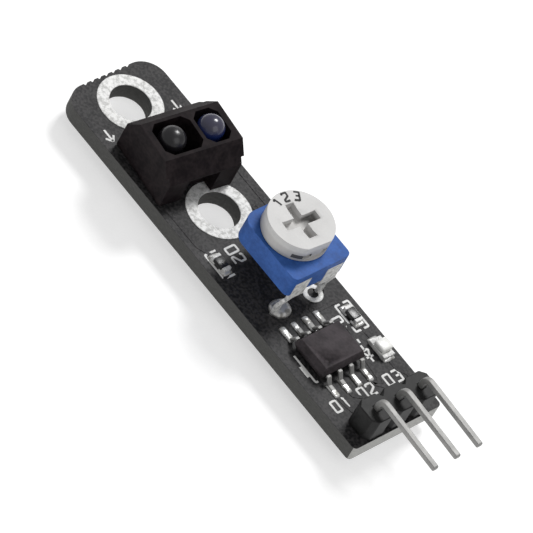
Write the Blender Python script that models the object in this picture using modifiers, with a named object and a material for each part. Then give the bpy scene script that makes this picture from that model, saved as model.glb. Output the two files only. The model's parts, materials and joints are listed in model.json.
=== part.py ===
"""Reflective infrared line sensor module for a line-following robot.

One narrow circuit board carries a reflective sensor between two screw
holes, a three-legged trimmer whose dial turns, an eight-lead comparator,
two chip resistors, an indicator lamp and a bent three-pin header.
+X runs along the board towards the header pins, +Y is the emitter's side
and +Z is up from the component face.  The origin lies under the middle of
the whole module, on the surface that its solder tails stand on.
"""
import math

import bmesh
import bpy
from mathutils import Matrix, Vector

MM = 0.001

# Chain of places along the board, from the far end to the header end
SCREW_HOLE_INSET = 3.3 * MM
SCREW_HOLE_SPACING = 12.0 * MM
HOLE_TO_DIAL = 6.75 * MM
DIAL_TO_CHIP = 8.65 * MM
CHIP_TO_PINS = 6.92 * MM
PIN_INSET = 1.38 * MM

# Circuit board
BOARD_LENGTH = SCREW_HOLE_INSET + SCREW_HOLE_SPACING + HOLE_TO_DIAL + DIAL_TO_CHIP + CHIP_TO_PINS + PIN_INSET
BOARD_WIDTH = 10.0 * MM
BOARD_THICKNESS = 1.5 * MM
FAR_CORNER_RADIUS = 2.1 * MM
NEAR_CORNER_RADIUS = 0.4 * MM
BREAK_TAB_PITCH = 0.78 * MM
BREAK_TAB_RADIUS = 0.2 * MM
BREAK_TAB_COUNT = 1 + int((BOARD_WIDTH - 2 * FAR_CORNER_RADIUS - 2 * BREAK_TAB_RADIUS) / BREAK_TAB_PITCH)

# Screw holes and their tinned rings
SCREW_HOLE_RADIUS = 1.85 * MM
RING_RADIUS = 2.95 * MM
COPPER_THICKNESS = 0.07 * MM

# Fits
GAP = 0.02 * MM
HOLE_CLEARANCE = 0.1 * MM
TAIL_LENGTH = 1.3 * MM
SOLDER_CONE_HEIGHT = 0.9 * MM
SOLDER_CONE_RADIUS = 0.85 * MM
SOLDER_CONE_LIP = 0.12 * MM

# Reflective sensor
SENSOR_SHIFT = 0.6 * MM
SENSOR_OFFSET_Y = -0.68 * MM
SENSOR_TURN = math.radians(-6.5)
SENSOR_LENGTH = 7.4 * MM
SENSOR_BASE_DEPTH = 6.7 * MM
SENSOR_TOP_DEPTH = 3.9 * MM
SENSOR_HEIGHT = 4.4 * MM
SENSOR_SHOULDER = 2.7 * MM
SENSOR_COLLAR_OVERHANG = 0.3 * MM
SENSOR_COLLAR_HEIGHT = 1.2 * MM
SENSOR_WALL = 0.3 * MM
SENSOR_FOOT = 2.1 * MM
SENSOR_RECESS_DEPTH = 1.1 * MM
SENSOR_RECESS_HEIGHT = 2.5 * MM
WELL_DEPTH = 2.9 * MM
WELL_CHAMFER = 0.6 * MM
DIVIDER_THICKNESS = 0.35 * MM
DIVIDER_BESIDE_LENS = 0.06 * MM
LENS_RADIUS = 1.2 * MM
LENS_SPACING = 4.0 * MM
LENS_PAIR_OFFSET = 0.12 * MM
LENS_TOP = 5.2 * MM
LENS_STEPS = 32
SENSOR_LEAD_WIDTH = 0.5 * MM
SENSOR_LEAD_PITCH = 2.0 * MM

# Trimmer
TRIMMER_OFFSET_Y = 0.15 * MM
TRIMMER_LENGTH = 7.1 * MM
TRIMMER_WIDTH = 6.4 * MM
TRIMMER_DIAL_SETBACK = 0.35 * MM
TRIMMER_BASE_HEIGHT = 2.2 * MM
TRIMMER_STAND = 3.1 * MM
TRIMMER_FAR_CORNER = 1.3 * MM
TRIMMER_NEAR_CORNER = 0.5 * MM
TRIMMER_BORE_RADIUS = 2.4 * MM
TRIMMER_FLOOR = 0.6 * MM
DIAL_RADIUS = 2.95 * MM
DIAL_HEIGHT = 1.6 * MM
DIAL_EDGE = 0.18 * MM
DIAL_RUN_GAP = 0.08 * MM
DIAL_BOSS_DEPTH = 0.9 * MM
DIAL_SLOT_WIDTH = 0.85 * MM
DIAL_SLOT_LENGTH = 3.4 * MM
DIAL_SLOT_DEPTH = 0.9 * MM
DIAL_FLAT_INSET = 0.26 * MM
DIAL_TURN_AT_REST = math.radians(-4.0)
WIPER_THICKNESS = 0.1 * MM
TRACK_THICKNESS = 0.15 * MM
TERMINAL_THICKNESS = 0.3 * MM
TERMINAL_TAB_WIDTH = 1.8 * MM
TERMINAL_TAB_PITCH = 3.6 * MM
TERMINAL_TAB_RISE = 1.4 * MM
TERMINAL_LEG_WIDTH = 0.7 * MM
TERMINAL_LEG_PITCH = 5.08 * MM
TERMINAL_ROW = 5.0 * MM
TERMINAL_SETBACK = 0.55 * MM
TERMINAL_KNEE_DROP = 0.7 * MM
TERMINAL_ANKLE_HEIGHT = 1.0 * MM

# Comparator
CHIP_OFFSET_Y = -1.0 * MM
CHIP_LENGTH = 4.8 * MM
CHIP_WIDTH = 3.8 * MM
CHIP_HEIGHT = 1.3 * MM
CHIP_STAND = 0.12 * MM
CHIP_DRAFT = 0.28 * MM
CHIP_LEADS_PER_SIDE = 4
CHIP_LEAD_PITCH = 1.27 * MM
CHIP_LEAD_WIDTH = 0.42 * MM
CHIP_LEAD_THICKNESS = 0.2 * MM
CHIP_LEAD_REACH = 1.15 * MM
CHIP_LEAD_FOOT = 0.55 * MM

# Chip resistors and indicator lamp, each placed from its side of the board
RESISTOR_LENGTH = 1.7 * MM
RESISTOR_WIDTH = 0.85 * MM
RESISTOR_HEIGHT = 0.5 * MM
RESISTOR_CAP = 0.32 * MM
RESISTOR_MARGIN = 1.35 * MM
RESISTOR_1_BESIDE_CHIP = 2.0 * MM
RESISTOR_2_BESIDE_DIAL = 2.35 * MM
LAMP_MARGIN = 1.25 * MM
LAMP_BESIDE_CHIP = 1.7 * MM
LAMP_LENGTH = 2.0 * MM
LAMP_WIDTH = 1.25 * MM
LAMP_BASE_HEIGHT = 0.4 * MM
LAMP_CAP = 0.4 * MM
LAMP_LENS_LENGTH = 1.1 * MM
LAMP_LENS_HEIGHT = 0.5 * MM
LAMP_LENS_BEVEL = 0.12 * MM

# Pin header
PIN_COUNT = 3
PIN_PITCH = 2.54 * MM
PIN_WIDTH = 0.5 * MM
PIN_RISE = 3.6 * MM
PIN_REACH = 5.7 * MM
PIN_BEND_RADIUS = 0.6 * MM
PIN_DROOP = math.radians(3.0)
PIN_TIP_CHAMFER = 0.1 * MM
HEADER_DEPTH = 2.5 * MM
HEADER_HEIGHT = 2.5 * MM
HEADER_CHAMFER = 0.5 * MM

# Levels, ends and centres that follow from the sizes above
BOARD_BOTTOM = TAIL_LENGTH
BOARD_TOP = BOARD_BOTTOM + BOARD_THICKNESS
NEAR_END = (BOARD_LENGTH - PIN_REACH) / 2
FAR_END = NEAR_END - BOARD_LENGTH
BOARD_SIDE = BOARD_WIDTH / 2
FAR_HOLE_X = FAR_END + SCREW_HOLE_INSET
NEAR_HOLE_X = FAR_HOLE_X + SCREW_HOLE_SPACING
HOLE_PLACES = {"far": FAR_HOLE_X, "near": NEAR_HOLE_X}

SENSOR_X = (FAR_HOLE_X + NEAR_HOLE_X) / 2 + SENSOR_SHIFT
SENSOR_SEAT = COPPER_THICKNESS + 2 * GAP
SENSOR_PLACE = Matrix.Translation(
    (SENSOR_X, SENSOR_OFFSET_Y, BOARD_TOP + SENSOR_SEAT)) @ Matrix.Rotation(SENSOR_TURN, 4, "Z")
SENSOR_COLLAR_LENGTH = SENSOR_LENGTH + 2 * SENSOR_COLLAR_OVERHANG
LENS_PLACES = {
    "phototransistor": LENS_PAIR_OFFSET - LENS_SPACING / 2,
    "emitter": LENS_PAIR_OFFSET + LENS_SPACING / 2,
}
SENSOR_LEAD_PLACES = {
    f"{device}_{row}": SENSOR_PLACE @ Vector((x, y, 0))
    for device, y in LENS_PLACES.items()
    for row, x in (("front", SENSOR_LEAD_PITCH / 2), ("back", -SENSOR_LEAD_PITCH / 2))
}

DIAL_CENTRE = Vector((NEAR_HOLE_X + HOLE_TO_DIAL, TRIMMER_OFFSET_Y, BOARD_TOP + TRIMMER_STAND))
TRIMMER_NEAR_FACE = DIAL_CENTRE.x + TRIMMER_LENGTH / 2 + TRIMMER_DIAL_SETBACK
TRIMMER_FAR_FACE = TRIMMER_NEAR_FACE - TRIMMER_LENGTH
TERMINAL_X = TRIMMER_NEAR_FACE - TERMINAL_SETBACK
TERMINAL_LEGS = {
    "right": (TERMINAL_X, DIAL_CENTRE.y + TERMINAL_LEG_PITCH / 2),
    "left": (TERMINAL_X, DIAL_CENTRE.y - TERMINAL_LEG_PITCH / 2),
    "rear": (TERMINAL_X - TERMINAL_ROW, DIAL_CENTRE.y),
}
TERMINAL_TABS = {
    "right": (TRIMMER_NEAR_FACE, DIAL_CENTRE.y + TERMINAL_TAB_PITCH / 2),
    "left": (TRIMMER_NEAR_FACE, DIAL_CENTRE.y - TERMINAL_TAB_PITCH / 2),
    "rear": (TRIMMER_FAR_FACE, DIAL_CENTRE.y),
}

CHIP_CENTRE = Vector((DIAL_CENTRE.x + DIAL_TO_CHIP, CHIP_OFFSET_Y, BOARD_TOP + CHIP_STAND))
RESISTOR_PLACES = {
    "1": (CHIP_CENTRE.x - RESISTOR_1_BESIDE_CHIP, BOARD_SIDE - RESISTOR_MARGIN),
    "2": (DIAL_CENTRE.x - RESISTOR_2_BESIDE_DIAL, RESISTOR_MARGIN - BOARD_SIDE),
}
LAMP_PLACE = (CHIP_CENTRE.x + LAMP_BESIDE_CHIP, BOARD_SIDE - LAMP_MARGIN)
PIN_X = CHIP_CENTRE.x + CHIP_TO_PINS
PIN_PLACES = {
    name: (PIN_X, (i - (PIN_COUNT - 1) / 2) * PIN_PITCH)
    for i, name in enumerate(("left", "middle", "right"))
}

# ---------------------------------------------------------------- helpers

for old in list(bpy.data.objects):
    bpy.data.objects.remove(old, do_unlink=True)

PARTS = bpy.data.collections.new("line_sensor_module")
TOOLS = bpy.data.collections.new("cutters")
bpy.context.scene.collection.children.link(PARTS)
bpy.context.scene.collection.children.link(TOOLS)


def material(name, colour, roughness, metallic=0.0):
    mat = bpy.data.materials.new(name)
    mat.use_nodes = True
    shader = mat.node_tree.nodes["Principled BSDF"]
    shader.inputs["Base Color"].default_value = (*colour, 1.0)
    shader.inputs["Roughness"].default_value = roughness
    shader.inputs["Metallic"].default_value = metallic
    return mat


SOLDER_MASK = material("solder_mask", (0.045, 0.045, 0.047), 0.55)
TIN = material("tin", (0.78, 0.78, 0.77), 0.3, 0.9)
SOLDER = material("solder", (0.55, 0.56, 0.57), 0.35, 0.9)
HOUSING_BLACK = material("housing_black", (0.018, 0.018, 0.019), 0.5)
LENS_DARK = material("lens_dark", (0.02, 0.02, 0.03), 0.12)
LENS_CLEAR = material("lens_clear", (0.25, 0.3, 0.55), 0.08)
TRIMMER_BLUE = material("trimmer_blue", (0.04, 0.13, 0.42), 0.4)
DIAL_WHITE = material("dial_white", (0.75, 0.73, 0.7), 0.45)
TRACK_BLACK = material("track_black", (0.03, 0.03, 0.03), 0.7)
SPRING_METAL = material("spring_metal", (0.7, 0.62, 0.4), 0.3, 0.9)
CHIP_BLACK = material("chip_black", (0.055, 0.05, 0.055), 0.6)
RESISTOR_BLACK = material("resistor_black", (0.02, 0.02, 0.02), 0.4)
LAMP_WHITE = material("lamp_white", (0.8, 0.8, 0.78), 0.5)
LAMP_CLEAR = material("lamp_clear", (0.85, 0.85, 0.8), 0.15)
HEADER_BLACK = material("header_black", (0.02, 0.02, 0.02), 0.5)


def add(obj, name, mat, collection=PARTS):
    """Name an object, give it its material and file it in one collection."""
    for other in list(obj.users_collection):
        other.objects.unlink(obj)
    collection.objects.link(obj)
    obj.name = name
    obj.data.name = name
    obj.data.materials.clear()
    if mat is not None:
        obj.data.materials.append(mat)
    return obj


def place(obj, matrix):
    obj.matrix_basis = matrix @ obj.matrix_basis
    return obj


def box(name, size, centre, mat, bevel=0.0):
    bpy.ops.mesh.primitive_cube_add(size=1.0, location=centre)
    obj = bpy.context.object
    obj.data.transform(Matrix.Diagonal((*size, 1.0)))
    if bevel > 0:
        edge = obj.modifiers.new("edges", "BEVEL")
        edge.width = bevel
        edge.segments = 2
    return add(obj, name, mat)


def plate(name, loops, thickness, matrix, mat):
    """Flat outline with holes: the first loop is the rim, the rest are holes."""
    curve = bpy.data.curves.new(name, "CURVE")
    curve.dimensions = "2D"
    curve.fill_mode = "BOTH"
    curve.extrude = thickness / 2
    for loop in loops:
        spline = curve.splines.new("POLY")
        spline.points.add(len(loop) - 1)
        for point, (u, v) in zip(spline.points, loop):
            point.co = (u, v, 0.0, 1.0)
        spline.use_cyclic_u = True
    obj = bpy.data.objects.new(name, curve)
    bpy.context.scene.collection.objects.link(obj)
    obj.matrix_basis = matrix
    return add(obj, name, mat)


def turned(name, profile, steps, location, mat):
    """Turn a profile of (radius, height) points, top first, about +Z."""
    mesh = bpy.data.meshes.new(name)
    verts = [(radius, 0.0, height) for radius, height in profile]
    mesh.from_pydata(verts, [(i, i + 1) for i in range(len(verts) - 1)], [])
    obj = bpy.data.objects.new(name, mesh)
    bpy.context.scene.collection.objects.link(obj)
    obj.location = location
    screw = obj.modifiers.new("turn", "SCREW")
    screw.steps = steps
    screw.render_steps = steps
    screw.use_merge_vertices = True
    screw.merge_threshold = 0.000002
    screw.use_smooth_shade = True
    return add(obj, name, mat)


def to_mesh(obj):
    """Swap a curve or modified object for the plain mesh that it makes."""
    graph = bpy.context.evaluated_depsgraph_get()
    mesh = bpy.data.meshes.new_from_object(obj.evaluated_get(graph))
    work = bmesh.new()
    work.from_mesh(mesh)
    bmesh.ops.remove_doubles(work, verts=work.verts, dist=0.000001)
    bmesh.ops.recalc_face_normals(work, faces=work.faces)
    work.to_mesh(mesh)
    work.free()
    solid = bpy.data.objects.new(obj.name, mesh)
    bpy.context.scene.collection.objects.link(solid)
    solid.matrix_basis = obj.matrix_basis
    name, mat = obj.name, obj.data.materials[0] if obj.data.materials else None
    collection = obj.users_collection[0]
    bpy.data.objects.remove(obj, do_unlink=True)
    return add(solid, name, mat, collection)


def cut(target, cutter, operation="DIFFERENCE"):
    """Cut one solid with another, or join them, and keep the cutter as a guide."""
    add(cutter, cutter.name, None, TOOLS)
    cutter.hide_render = True
    cutter.display_type = "WIRE"
    change = target.modifiers.new(cutter.name, "BOOLEAN")
    change.operation = operation
    change.object = cutter
    change.solver = "EXACT"
    return target


def flat_at(z):
    return Matrix.Translation((0, 0, z))


def upright_xz(y):
    """Plane whose u runs along +X and whose v runs up +Z, at a given Y."""
    return Matrix.Translation((0, y, 0)) @ Matrix.Rotation(math.pi / 2, 4, "X")


def arc(centre, radius, start, end, steps):
    """Points along an arc, angles in degrees."""
    points = []
    for i in range(steps + 1):
        angle = math.radians(start + (end - start) * i / steps)
        points.append((centre[0] + radius * math.cos(angle), centre[1] + radius * math.sin(angle)))
    return points


def circle(centre, radius, steps=32):
    return arc(centre, radius, 0, 360 * (steps - 1) / steps, steps - 1)


def rectangle(centre, length, width):
    (x, y), a, b = centre, length / 2, width / 2
    return [(x - a, y - b), (x + a, y - b), (x + a, y + b), (x - a, y + b)]


def strip_outline(path, thickness, tip=0.0):
    """Outline of an even strip along a bent centre line, its last corners cut by tip."""
    left, right = [], []
    for i, here in enumerate(path):
        before = (here - path[i - 1]).normalized() if i > 0 else None
        after = (path[i + 1] - here).normalized() if i < len(path) - 1 else None
        first, last = before or after, after or before
        bisector = (first + last).normalized()
        normal = Vector((-bisector.y, bisector.x))
        reach = thickness / 2 / max(0.2, bisector.dot(last))
        left.append(here + normal * reach)
        right.append(here - normal * reach)
    if tip > 0:
        along, across = last * tip, normal * tip
        right = right[:-1] + [right[-1] - along, right[-1] + across]
        left = left[:-1] + [left[-1] - along, left[-1] - across]
    return [tuple(point) for point in right + left[::-1]]


# ------------------------------------------------------------------ board

def board_outline():
    near, far, side = NEAR_END, FAR_END, BOARD_SIDE
    rim = arc((near - NEAR_CORNER_RADIUS, -side + NEAR_CORNER_RADIUS), NEAR_CORNER_RADIUS, -90, 0, 4)
    rim += arc((near - NEAR_CORNER_RADIUS, side - NEAR_CORNER_RADIUS), NEAR_CORNER_RADIUS, 0, 90, 4)
    rim += arc((far + FAR_CORNER_RADIUS, side - FAR_CORNER_RADIUS), FAR_CORNER_RADIUS, 90, 180, 10)
    for i in range(BREAK_TAB_COUNT):
        y = ((BREAK_TAB_COUNT - 1) / 2 - i) * BREAK_TAB_PITCH
        rim += arc((far, y), BREAK_TAB_RADIUS, 90, -90, 6)
    rim += arc((far + FAR_CORNER_RADIUS, -side + FAR_CORNER_RADIUS), FAR_CORNER_RADIUS, 180, 270, 10)
    return rim


def lead_holes():
    """Round holes in the board for every lead that passes through it."""
    pin = PIN_WIDTH / math.sqrt(2) + HOLE_CLEARANCE
    leg = math.hypot(TERMINAL_LEG_WIDTH, TERMINAL_THICKNESS) / 2 + HOLE_CLEARANCE
    wire = SENSOR_LEAD_WIDTH / math.sqrt(2) + HOLE_CLEARANCE
    holes = [(where, pin) for where in PIN_PLACES.values()]
    holes += [(where, leg) for where in TERMINAL_LEGS.values()]
    holes += [((where.x, where.y), wire) for where in SENSOR_LEAD_PLACES.values()]
    return [circle(centre, radius, 20) for centre, radius in holes]


def make_board():
    holes = [circle((x, 0), SCREW_HOLE_RADIUS, 48) for x in HOLE_PLACES.values()]
    middle = flat_at(BOARD_BOTTOM + BOARD_THICKNESS / 2)
    plate("circuit_board", [board_outline()] + holes + lead_holes(), BOARD_THICKNESS, middle, SOLDER_MASK)


def make_rings():
    for which, x in HOLE_PLACES.items():
        for face, z in (
            ("top", BOARD_TOP + GAP + COPPER_THICKNESS / 2),
            ("bottom", BOARD_BOTTOM - GAP - COPPER_THICKNESS / 2),
        ):
            loops = [circle((x, 0), RING_RADIUS, 48), circle((x, 0), SCREW_HOLE_RADIUS, 48)]
            plate(f"{which}_hole_ring_{face}", loops, COPPER_THICKNESS, flat_at(z), TIN)


# ----------------------------------------------------------------- sensor

def sensor_side_profile():
    """Side view of the housing: an upright base under two sloping shoulders."""
    base, top = SENSOR_BASE_DEPTH / 2, SENSOR_TOP_DEPTH / 2
    return [
        (-base, 0), (base, 0), (base, SENSOR_SHOULDER), (top, SENSOR_HEIGHT),
        (-top, SENSOR_HEIGHT), (-base, SENSOR_SHOULDER),
    ]


def chamfered(length, low, high, corner):
    """Rectangle with cut corners: length along X, from low to high along Y."""
    a = length / 2
    return [
        (a - corner, low), (a, low + corner), (a, high - corner), (a - corner, high),
        (-a + corner, high), (-a, high - corner), (-a, low + corner), (-a + corner, low),
    ]


def make_sensor_housing():
    """Block with a collar, two feet at each end, two wells and a wall between them."""
    housing = to_mesh(plate(
        "sensor_housing", [sensor_side_profile()], SENSOR_COLLAR_LENGTH, upright_xz(0), HOUSING_BLACK))
    collar_low = SENSOR_HEIGHT - SENSOR_COLLAR_HEIGHT
    block_end = SENSOR_LENGTH / 2
    divider_right = LENS_PLACES["emitter"] - LENS_RADIUS - DIVIDER_BESIDE_LENS
    divider_left = divider_right - DIVIDER_THICKNESS
    for side, sign in (("left", -1), ("right", 1)):
        centre = (0, sign * (block_end + SENSOR_COLLAR_OVERHANG), collar_low / 2 - GAP)
        size = (2 * SENSOR_BASE_DEPTH, 2 * SENSOR_COLLAR_OVERHANG, collar_low + 2 * GAP)
        cut(housing, box(f"sensor_undercut_{side}", size, centre, None))

    recess_length = SENSOR_LENGTH - 2 * SENSOR_FOOT
    for side, sign in (("near", 1), ("far", -1)):
        centre = (sign * SENSOR_BASE_DEPTH / 2, 0, SENSOR_RECESS_HEIGHT / 2 - GAP)
        size = (2 * SENSOR_RECESS_DEPTH, recess_length, SENSOR_RECESS_HEIGHT + 2 * GAP)
        cut(housing, box(f"sensor_recess_{side}", size, centre, None))

    well_length = SENSOR_TOP_DEPTH - 2 * SENSOR_WALL
    wells = {
        "phototransistor": (SENSOR_WALL - block_end, divider_left),
        "emitter": (divider_right, block_end - SENSOR_WALL),
    }
    for device, (low, high) in wells.items():
        outline = chamfered(well_length, low, high, WELL_CHAMFER)
        well = plate(f"{device}_well", [outline], 2 * WELL_DEPTH, flat_at(SENSOR_HEIGHT), None)
        cut(housing, to_mesh(well))
        for row, x in (("front", SENSOR_LEAD_PITCH / 2), ("back", -SENSOR_LEAD_PITCH / 2)):
            width = SENSOR_LEAD_WIDTH + 2 * GAP
            size = (width, width, 2 * SENSOR_HEIGHT)
            cut(housing, box(f"{device}_{row}_lead_hole", size, (x, LENS_PLACES[device], 0), None))
    housing = to_mesh(housing)
    return place(housing, SENSOR_PLACE)


def make_lens(name, y, mat):
    floor = SENSOR_HEIGHT - WELL_DEPTH + GAP
    dome_base = LENS_TOP - LENS_RADIUS
    steps = 10
    angles = [i * math.pi / 2 / steps for i in range(steps + 1)]
    profile = [(LENS_RADIUS * math.sin(a), dome_base + LENS_RADIUS * math.cos(a)) for a in angles]
    profile += [(LENS_RADIUS, floor), (0.0, floor)]
    lens = turned(name, profile, LENS_STEPS, (0, y, 0), mat)
    place(lens, SENSOR_PLACE)


def make_sensor_leads():
    floor = BOARD_TOP + SENSOR_SEAT + SENSOR_HEIGHT - WELL_DEPTH
    for name, where in SENSOR_LEAD_PLACES.items():
        size = (SENSOR_LEAD_WIDTH, SENSOR_LEAD_WIDTH, floor)
        lead = box(f"{name}_lead", size, (0, 0, floor / 2), TIN)
        turn = Matrix.Rotation(SENSOR_TURN, 4, "Z")
        place(lead, Matrix.Translation((where.x, where.y, 0)) @ turn)


# ---------------------------------------------------------------- trimmer

def trimmer_outline():
    """Plan of the trimmer base, rounded most at the two far corners."""
    near, far = TRIMMER_NEAR_FACE, TRIMMER_FAR_FACE
    right, left = DIAL_CENTRE.y + TRIMMER_WIDTH / 2, DIAL_CENTRE.y - TRIMMER_WIDTH / 2
    near_r, far_r = TRIMMER_NEAR_CORNER, TRIMMER_FAR_CORNER
    rim = arc((near - near_r, left + near_r), near_r, -90, 0, 3)
    rim += arc((near - near_r, right - near_r), near_r, 0, 90, 3)
    rim += arc((far + far_r, right - far_r), far_r, 90, 180, 8)
    rim += arc((far + far_r, left + far_r), far_r, 180, 270, 8)
    return rim


def make_trimmer_base():
    middle = flat_at(DIAL_CENTRE.z + TRIMMER_BASE_HEIGHT / 2)
    base = to_mesh(plate("trimmer_base", [trimmer_outline()], TRIMMER_BASE_HEIGHT, middle, TRIMMER_BLUE))
    depth = TRIMMER_BASE_HEIGHT - TRIMMER_FLOOR
    rim = circle(DIAL_CENTRE.xy, TRIMMER_BORE_RADIUS, 48)
    top = flat_at(DIAL_CENTRE.z + TRIMMER_BASE_HEIGHT)
    cut(base, to_mesh(plate("trimmer_bore", [rim], 2 * depth, top, None)))
    size = (2 * (TERMINAL_THICKNESS + GAP), TERMINAL_TAB_WIDTH + 2 * GAP, 2 * (TERMINAL_TAB_RISE + GAP))
    for name, (x, y) in TERMINAL_TABS.items():
        cut(base, box(f"{name}_terminal_notch", size, (x, y, DIAL_CENTRE.z), None))
    to_mesh(base)


def at_dial(obj):
    """Put a piece made about the dial's own axis where the dial rests."""
    return place(obj, Matrix.Translation(DIAL_CENTRE) @ Matrix.Rotation(DIAL_TURN_AT_REST, 4, "Z"))


def make_dial():
    """Dial with a boss, a cross slot and one flat, made about its own axis."""
    skirt = TRIMMER_BASE_HEIGHT + DIAL_RUN_GAP
    top = skirt + DIAL_HEIGHT
    boss = TRIMMER_BORE_RADIUS - DIAL_RUN_GAP
    profile = [
        (0.0, top), (DIAL_RADIUS - DIAL_EDGE, top), (DIAL_RADIUS, top - DIAL_EDGE), (DIAL_RADIUS, skirt),
        (boss, skirt), (boss, skirt - DIAL_BOSS_DEPTH), (0.0, skirt - DIAL_BOSS_DEPTH),
    ]
    dial = to_mesh(turned("trimmer_dial", profile, 64, (0, 0, 0), DIAL_WHITE))
    for arm, size in (
        ("long", (DIAL_SLOT_LENGTH, DIAL_SLOT_WIDTH, 2 * DIAL_SLOT_DEPTH)),
        ("cross", (DIAL_SLOT_WIDTH, DIAL_SLOT_LENGTH, 2 * DIAL_SLOT_DEPTH)),
    ):
        cut(dial, box(f"dial_slot_{arm}", size, (0, 0, top), None))
    reach = DIAL_RADIUS - DIAL_FLAT_INSET
    size = (2 * DIAL_FLAT_INSET, 2 * DIAL_RADIUS, 2 * DIAL_HEIGHT)
    centre = (reach + DIAL_FLAT_INSET, 0, skirt + DIAL_RUN_GAP + DIAL_HEIGHT)
    cut(dial, box("dial_flat", size, centre, None))
    at_dial(to_mesh(dial))


def make_wiper():
    """Sprung ring with one contact arm, carried under the dial's boss."""
    outer = TRIMMER_BORE_RADIUS * 0.6
    tip = TRIMMER_BORE_RADIUS * 0.88
    half = 16
    rim = arc((0, 0), outer, half, 360 - half, 28)
    arm = outer * math.sin(math.radians(half)) * 0.6
    rim += [(tip, -arm), (tip, arm)]
    z = TRIMMER_BASE_HEIGHT + DIAL_RUN_GAP - DIAL_BOSS_DEPTH - GAP - WIPER_THICKNESS / 2
    loops = [rim, circle((0, 0), outer * 0.5, 20)]
    at_dial(plate("trimmer_wiper", loops, WIPER_THICKNESS, flat_at(z), SPRING_METAL))


def make_track():
    """Horseshoe of resistive film on a ceramic strip, fixed in the base."""
    outer, inner = TRIMMER_BORE_RADIUS - 2 * GAP, TRIMMER_BORE_RADIUS * 0.62
    rim = arc((0, 0), outer, 40, 320, 36) + arc((0, 0), inner, 320, 40, 36)
    z = TRIMMER_FLOOR + GAP + TRACK_THICKNESS / 2
    track = plate("resistance_track", [rim], TRACK_THICKNESS, flat_at(z), TRACK_BLACK)
    place(track, Matrix.Translation(DIAL_CENTRE))


def make_terminal(name):
    """Stamped leg: a wide tab in the base's notch, then a narrow leg down."""
    (x, leg_y), (face, tab_y) = TERMINAL_LEGS[name], TERMINAL_TABS[name]
    face += math.copysign(TERMINAL_THICKNESS / 2, x - face)
    top = DIAL_CENTRE.z + TERMINAL_TAB_RISE - GAP
    knee = DIAL_CENTRE.z - TERMINAL_KNEE_DROP
    ankle = BOARD_TOP + TERMINAL_ANKLE_HEIGHT
    path = [Vector((face, top)), Vector((face, knee)), Vector((x, ankle)), Vector((x, 0.0))]
    bands = {
        "tab": (tab_y - TERMINAL_TAB_WIDTH / 2, tab_y + TERMINAL_TAB_WIDTH / 2, knee, top + GAP),
        "leg": (leg_y - TERMINAL_LEG_WIDTH / 2, leg_y + TERMINAL_LEG_WIDTH / 2, -GAP, knee),
    }
    low = min(band[0] for band in bands.values())
    high = max(band[1] for band in bands.values())
    leg = to_mesh(plate(
        f"trimmer_terminal_{name}", [strip_outline(path, TERMINAL_THICKNESS)],
        high - low, upright_xz((low + high) / 2), TIN))
    for part, (left, right, bottom, upper) in bands.items():
        for side, inner, outer in (("left", left, low), ("right", right, high)):
            if abs(inner - outer) > GAP:
                outer += math.copysign(GAP, outer - inner)
                size = (2 * TRIMMER_LENGTH, abs(outer - inner), upper - bottom)
                centre = (x, (inner + outer) / 2, (bottom + upper) / 2)
                cut(leg, box(f"{name}_{part}_trim_{side}", size, centre, None))
    to_mesh(leg)


# ------------------------------------------------------------- small parts

def make_chip():
    bpy.ops.mesh.primitive_cube_add(size=1.0)
    body = bpy.context.object
    body.data.transform(Matrix.Diagonal((CHIP_WIDTH, CHIP_LENGTH, CHIP_HEIGHT, 1.0)))
    work = bmesh.new()
    work.from_mesh(body.data)
    everything = work.verts[:] + work.edges[:] + work.faces[:]
    bmesh.ops.bisect_plane(work, geom=everything, plane_co=(0, 0, 0), plane_no=(0, 0, 1))
    for vert in work.verts:
        if abs(vert.co.z) > CHIP_HEIGHT / 4:
            vert.co.x -= math.copysign(CHIP_DRAFT, vert.co.x)
            vert.co.y -= math.copysign(CHIP_DRAFT, vert.co.y)
    work.to_mesh(body.data)
    work.free()
    body.location = CHIP_CENTRE + Vector((0, 0, CHIP_HEIGHT / 2))
    add(body, "comparator_body", CHIP_BLACK)


def make_chip_leads():
    """Gull-wing leads, numbered round the chip from the near left one."""
    start = CHIP_WIDTH / 2 + GAP
    end = CHIP_WIDTH / 2 + CHIP_LEAD_REACH
    shoulder = CHIP_HEIGHT / 2 + CHIP_STAND
    foot = GAP + CHIP_LEAD_THICKNESS / 2
    path = [
        Vector((start, shoulder)), Vector((start + CHIP_LEAD_THICKNESS, shoulder)),
        Vector((end - CHIP_LEAD_FOOT, foot)), Vector((end, foot)),
    ]
    outline = strip_outline(path, CHIP_LEAD_THICKNESS)
    for side, turn in (("near", 0.0), ("far", math.pi)):
        for i in range(CHIP_LEADS_PER_SIDE):
            y = (i - (CHIP_LEADS_PER_SIDE - 1) / 2) * CHIP_LEAD_PITCH
            lead = plate(f"comparator_lead_{side}_{i + 1}", [outline], CHIP_LEAD_WIDTH, upright_xz(0), TIN)
            origin = Vector((CHIP_CENTRE.x, CHIP_CENTRE.y + y, BOARD_TOP))
            place(lead, Matrix.Translation(origin) @ Matrix.Rotation(turn, 4, "Z"))


def make_resistor(number, where):
    x, y = where
    z = BOARD_TOP + GAP + RESISTOR_HEIGHT / 2
    body_length = RESISTOR_LENGTH - 2 * RESISTOR_CAP - 2 * GAP
    size = (body_length, RESISTOR_WIDTH, RESISTOR_HEIGHT)
    box(f"resistor_{number}_body", size, (x, y, z), RESISTOR_BLACK)
    size = (RESISTOR_CAP, RESISTOR_WIDTH, RESISTOR_HEIGHT)
    for side, sign in (("near", 1), ("far", -1)):
        centre = (x + sign * (RESISTOR_LENGTH - RESISTOR_CAP) / 2, y, z)
        box(f"resistor_{number}_cap_{side}", size, centre, TIN)


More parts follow.
